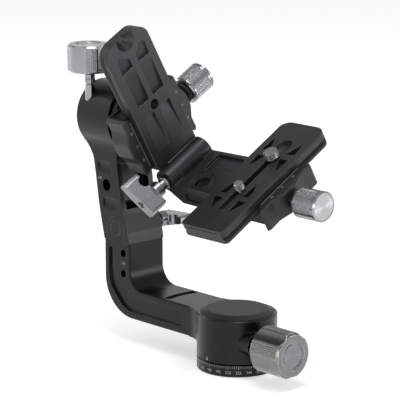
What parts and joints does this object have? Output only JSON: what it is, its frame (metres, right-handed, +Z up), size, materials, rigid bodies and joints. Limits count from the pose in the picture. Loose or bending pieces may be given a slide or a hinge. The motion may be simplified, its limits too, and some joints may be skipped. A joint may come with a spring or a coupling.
{
  "type": "gimbal tripod head",
  "caption": "Side-mount gimbal tripod head: panning base, two-part arm, tilting clamp, dovetail rail with a folding platform, and a sliding lens plate with camera screws.",
  "frame": {"origin": "centre of the base's flat underside, where the tripod stud enters", "axes": "+Z up along the pan axis; the arm runs from the base towards -X; the tilt axis is parallel to X and 146.8 mm up"},
  "size_m": [0.1953, 0.1114, 0.2118],
  "materials": {
    "black_anodised": "satin black anodised",
    "black_anodised_plate": "fine bead-blasted black anodised",
    "black_cap": "fine matt black",
    "titanium_grey": "satin titanium-grey anodised",
    "silver_knob": "bright satin",
    "knurled_silver": "knurled and polished",
    "blasted_silver": "bead-blasted silver",
    "bright_steel": "polished",
    "screw_steel": "turned",
    "bearing_steel": "ground",
    "brass_cotter": "machined",
    "black_rubber": "matt"
  },
  "bodies": {
    "base": {"base_disc": "black_anodised", "base_screws": "screw_steel", "base_pad": "black_rubber", "thread_bush": "screw_steel", "pan_spindle": "bearing_steel", "spindle_washer": "screw_steel", "spindle_screw": "screw_steel", "pan_bearing_inner": "bearing_steel"},
    "arm": {"lower_arm": "black_anodised", "pan_bearing_outer": "bearing_steel", "pan_bearing_balls": "bearing_steel", "pan_cap": "black_cap", "pan_cap_disc": "black_cap", "pan_cotter": "brass_cotter", "upper_arm": "black_anodised", "splice_bolt": "screw_steel", "splice_cap": "black_anodised", "tilt_bearing_outer": "bearing_steel", "tilt_bearing_balls": "bearing_steel", "tilt_cap": "black_anodised", "tilt_cotter": "brass_cotter"},
    "pan_lock": {"pan_knob": "titanium_grey", "pan_knob_disc": "titanium_grey", "pan_lock_screw": "bright_steel"},
    "arm_lock": {"arm_lever": "blasted_silver", "arm_lever_screw": "screw_steel"},
    "tilt_lock": {"tilt_knob": "silver_knob", "tilt_knob_disc": "silver_knob", "tilt_lock_screw": "bright_steel"},
    "swing": {"tilt_shaft": "bearing_steel", "tilt_hub": "black_anodised", "tilt_spacer": "bearing_steel", "hub_screws": "screw_steel", "shaft_screw": "screw_steel", "tilt_bearing_inner": "bearing_steel", "tilt_clamp_body": "black_anodised_plate"},
    "jaw_1": {"clamp_jaw_1": "black_anodised_plate", "guide_pins_1": "screw_steel"},
    "knob_1": {"clamp_screw_1": "bright_steel", "knob_collar_1": "black_rubber", "clamp_knob_1": "knurled_silver", "clamp_knob_disc_1": "knurled_silver"},
    "rail": {"upper_plate": "black_anodised_plate", "upper_plate_stop": "screw_steel"},
    "platform": {"platform": "black_anodised_plate", "hinge_bolt": "screw_steel"},
    "hinge_lock": {"hinge_lever": "blasted_silver", "hinge_lever_screw": "screw_steel"},
    "jaw_2": {"clamp_jaw_2": "black_anodised_plate", "guide_pins_2": "screw_steel"},
    "knob_2": {"clamp_screw_2": "bright_steel", "knob_collar_2": "black_rubber", "clamp_knob_2": "knurled_silver", "clamp_knob_disc_2": "knurled_silver"},
    "lens_plate": {"lens_plate": "black_anodised_plate", "lens_plate_stop": "screw_steel"},
    "quarter_screw": {"quarter_screw": "screw_steel"},
    "three_eighth_screw": {"three_eighth_screw": "screw_steel"}
  },
  "joints": [
    {"name": "pan", "type": "hinge", "parent": "base", "child": "arm", "pos_m": [0, 0, 0.02], "axis": [0, 0, 1], "continuous": true},
    {"name": "pan_lock_turn", "type": "hinge", "parent": "arm", "child": "pan_lock", "pos_m": [0.04, -0.0107, 0.0217], "axis": [1, 0, 0], "range_deg": [0, 270]},
    {"name": "arm_lock_turn", "type": "hinge", "parent": "arm", "child": "arm_lock", "pos_m": [-0.0987, 0.027, 0.0745], "axis": [0, 1, 0], "range_deg": [0, 90]},
    {"name": "tilt_lock_turn", "type": "hinge", "parent": "arm", "child": "tilt_lock", "pos_m": [-0.1207, -0.0166, 0.18], "axis": [0, 0, 1], "range_deg": [0, 270]},
    {"name": "tilt", "type": "hinge", "parent": "arm", "child": "swing", "pos_m": [-0.1, 0, 0.1468], "axis": [1, 0, 0], "continuous": true},
    {"name": "jaw_1_slide", "type": "slide", "parent": "swing", "child": "jaw_1", "axis": [0, 0.8695, 0.4939], "range_m": [0, 0.0032]},
    {"name": "knob_1_turn", "type": "hinge", "parent": "jaw_1", "child": "knob_1", "pos_m": [-0.082, 0.04031, 0.16694], "axis": [0, 0.8695, 0.4939], "range_deg": [0, 1440]},
    {"name": "rail_slide", "type": "slide", "parent": "swing", "child": "rail", "axis": [0, -0.4939, 0.8695], "range_m": [-0.02, 0.002]},
    {"name": "platform_fold", "type": "hinge", "parent": "rail", "child": "platform", "pos_m": [-0.0655, 0.01605, 0.11854], "axis": [0, 0.8695, 0.4939], "range_deg": [-75, 0]},
    {"name": "hinge_lock_turn", "type": "hinge", "parent": "platform", "child": "hinge_lock", "pos_m": [-0.0655, -0.01003, 0.10372], "axis": [0, 0.8695, 0.4939], "range_deg": [-90, 0]},
    {"name": "jaw_2_slide", "type": "slide", "parent": "platform", "child": "jaw_2", "axis": [1, 0, 0], "range_m": [0, 0.0032]},
    {"name": "knob_2_turn", "type": "hinge", "parent": "jaw_2", "child": "knob_2", "pos_m": [0.045, 0.02149, 0.10898], "axis": [1, 0, 0], "range_deg": [0, 1440]},
    {"name": "lens_plate_slide", "type": "slide", "parent": "platform", "child": "lens_plate", "axis": [0, 0.8695, 0.4939], "range_m": [-0.02, 0.02]},
    {"name": "quarter_screw_slide", "type": "slide", "parent": "lens_plate", "child": "quarter_screw", "axis": [0, 0.8695, 0.4939], "range_m": [-0.018, 0.006]},
    {"name": "three_eighth_screw_slide", "type": "slide", "parent": "lens_plate", "child": "three_eighth_screw", "axis": [0, 0.8695, 0.4939], "range_m": [-0.008, 0.006]}
  ],
  "couplings": [
    {"joint": "knob_1_turn", "follows": "jaw_1_slide", "rad_per_m": 7853.9},
    {"joint": "knob_2_turn", "follows": "jaw_2_slide", "rad_per_m": 7853.9}
  ]
}
